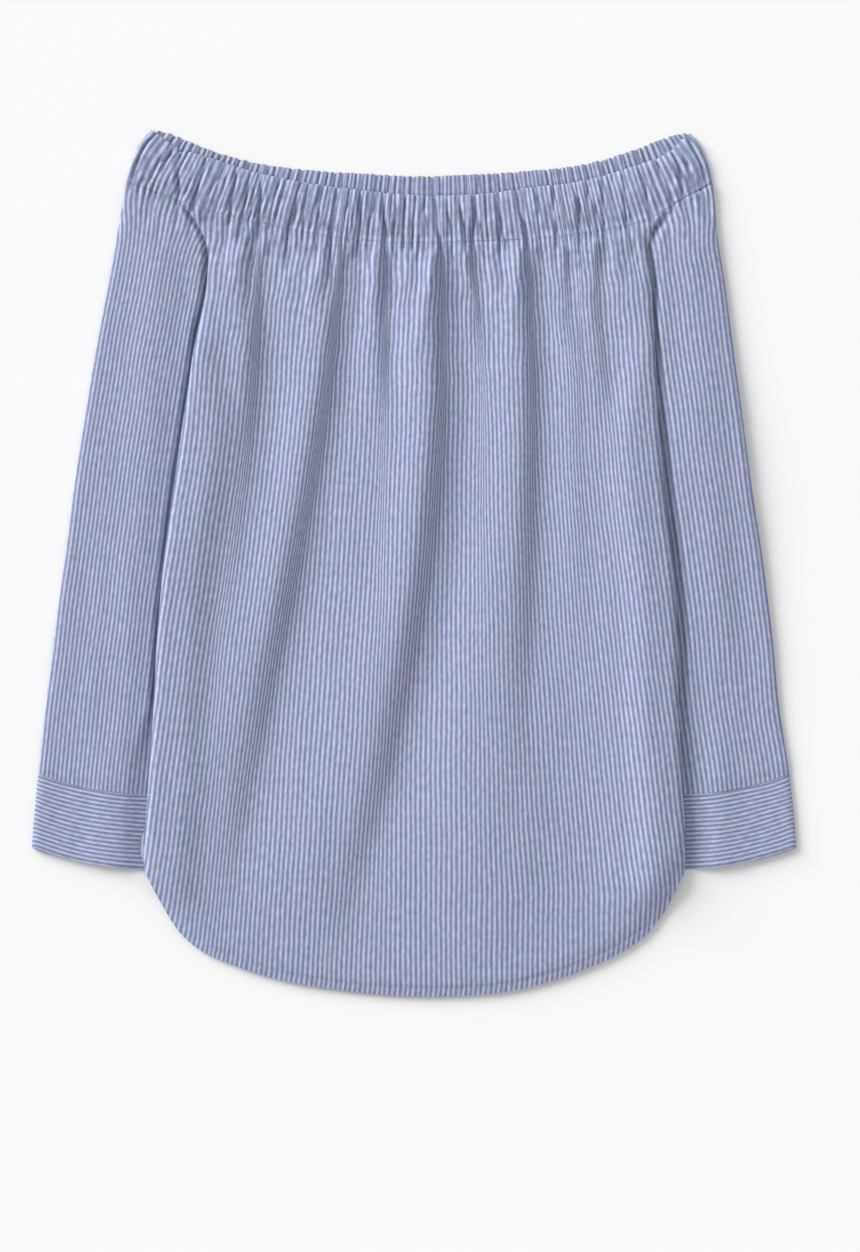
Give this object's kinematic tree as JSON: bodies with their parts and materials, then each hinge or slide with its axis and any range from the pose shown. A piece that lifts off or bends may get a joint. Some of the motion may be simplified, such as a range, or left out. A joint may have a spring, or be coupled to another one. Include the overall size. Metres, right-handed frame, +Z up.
{
  "type": "off-shoulder top",
  "caption": "Long-sleeved off-shoulder top laid flat, with a gathered elastic neck casing, plain wide cuffs and a rounded shirttail hem.",
  "frame": {"origin": "on the surface the garment lies on, under the middle of its laid outline", "axes": "+Y towards the neckline, +X to the right as seen from above with the front upwards, +Z up from the surface"},
  "size_m": [0.6224, 0.7074, 0.0106],
  "materials": {
    "striped_cotton": "fine blue and white striped cotton poplin, matt",
    "cuff_cotton": "the same striped poplin with its stripes running round the cuff, matt",
    "casing_cotton": "the same striped poplin gathered over elastic, matt",
    "thread": "pale blue polyester sewing thread, satin"
  },
  "bodies": {
    "root": {"front_panel": "striped_cotton", "back_panel": "striped_cotton", "sleeve_left": "striped_cotton", "sleeve_right": "striped_cotton", "cuff_left": "cuff_cotton", "cuff_right": "cuff_cotton", "neck_casing": "casing_cotton"}
  },
  "joints": []
}
